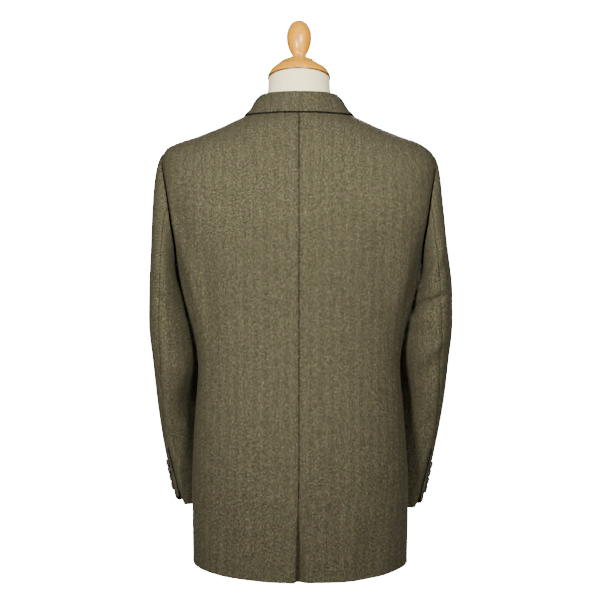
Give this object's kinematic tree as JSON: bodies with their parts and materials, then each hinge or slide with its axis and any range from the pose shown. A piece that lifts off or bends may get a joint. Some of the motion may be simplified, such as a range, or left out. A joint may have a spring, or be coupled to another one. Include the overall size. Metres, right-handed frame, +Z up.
{
  "type": "tweed hacking jacket on a dress form",
  "caption": "Buttoned tweed hacking jacket with notch lapels, slanted pocket flaps and a centre back vent, worn by a limbless dress form with a turned wooden neck cap.",
  "frame": {"origin": "on the ground, under the middle of the part", "axes": "+Z up, the wearer faces -Y, the wearer's left side is +X"},
  "size_m": [0.5192, 0.2936, 0.9393],
  "materials": {
    "tweed": "woollen herringbone tweed, olive brown, matt with a soft nap",
    "linen": "cream linen stretched over the form",
    "varnished_wood": "turned beech, honey varnish, gloss",
    "horn": "dark brown horn, polished"
  },
  "bodies": {
    "root": {"form_torso": "linen", "neck_cap": "varnished_wood", "finial": "varnished_wood", "collar": "tweed", "back_L": "tweed", "side_L": "tweed", "front_L": "tweed", "lapel_L": "tweed", "pocket_flap_L": "tweed", "top_sleeve_L": "tweed", "under_sleeve_L": "tweed", "button_cuff_L_1": "horn", "button_cuff_L_2": "horn", "button_cuff_L_3": "horn", "button_cuff_L_4": "horn", "back_R": "tweed", "side_R": "tweed", "front_R": "tweed", "lapel_R": "tweed", "pocket_flap_R": "tweed", "top_sleeve_R": "tweed", "under_sleeve_R": "tweed", "button_cuff_R_1": "horn", "button_cuff_R_2": "horn", "button_cuff_R_3": "horn", "button_cuff_R_4": "horn", "button_front_1": "horn", "button_front_2": "horn", "button_front_3": "horn"}
  },
  "joints": []
}
